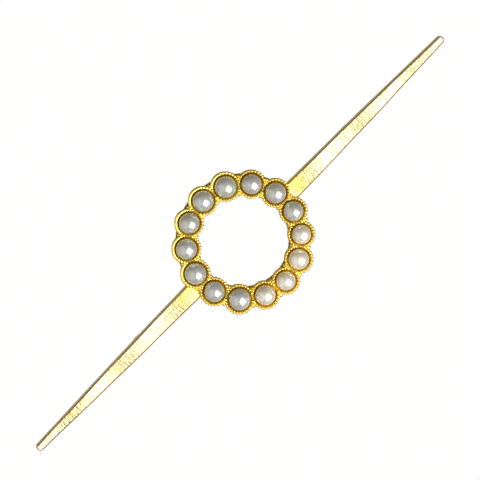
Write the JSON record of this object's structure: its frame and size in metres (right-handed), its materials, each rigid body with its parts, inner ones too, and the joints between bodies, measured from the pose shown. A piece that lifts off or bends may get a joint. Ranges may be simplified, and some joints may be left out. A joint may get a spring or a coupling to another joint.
{
  "type": "bar brooch",
  "caption": "Slim tapered bar brooch with an open centre ring of split pearls in milled collets, a hinged pin bowed behind the ring and a rotating safety catch.",
  "frame": {"origin": "bottom centre of the box: midway between the bar's two tips, on the bar's centre line, at the surface that the brooch lies on", "axes": "+X along the bar from the hinge end to the catch end, +Z out of the pearl face, +Y across the bar"},
  "size_m": [0.06, 0.0151, 0.0046],
  "materials": {
    "arm_gold": "polished pale yellow gold",
    "setting_gold": "rich yellow gold, milled rims",
    "pearl": "nacre lustre",
    "fitting_gold": "polished yellow gold, lightly tarnished",
    "pin_gold": "drawn and burnished gold wire"
  },
  "bodies": {
    "brooch": {"back_ring": "setting_gold", "left_arm": "arm_gold", "right_arm": "arm_gold", "collet_01": "setting_gold", "collet_02": "setting_gold", "collet_03": "setting_gold", "collet_04": "setting_gold", "collet_05": "setting_gold", "collet_06": "setting_gold", "collet_07": "setting_gold", "collet_08": "setting_gold", "collet_09": "setting_gold", "collet_10": "setting_gold", "collet_11": "setting_gold", "collet_12": "setting_gold", "collet_13": "setting_gold", "collet_14": "setting_gold", "pearl_01": "pearl", "pearl_02": "pearl", "pearl_03": "pearl", "pearl_04": "pearl", "pearl_05": "pearl", "pearl_06": "pearl", "pearl_07": "pearl", "pearl_08": "pearl", "pearl_09": "pearl", "pearl_10": "pearl", "pearl_11": "pearl", "pearl_12": "pearl", "pearl_13": "pearl", "pearl_14": "pearl", "hinge_base": "fitting_gold", "hinge_rivet": "fitting_gold", "catch_base": "fitting_gold", "catch_barrel": "fitting_gold"},
    "pin": {"pin_knuckle": "pin_gold", "pin_stem": "pin_gold"},
    "safety_sleeve": {"catch_sleeve": "fitting_gold"}
  },
  "joints": [
    {"name": "pin_hinge", "type": "hinge", "parent": "brooch", "child": "pin", "pos_m": [-0.0146, 0, 0.00061], "axis": [0, 1, 0], "range_deg": [0, 85]},
    {"name": "catch_turn", "type": "hinge", "parent": "brooch", "child": "safety_sleeve", "pos_m": [0.0154, 0, 0.00061], "axis": [-1, 0, 0], "range_deg": [0, 80]}
  ]
}
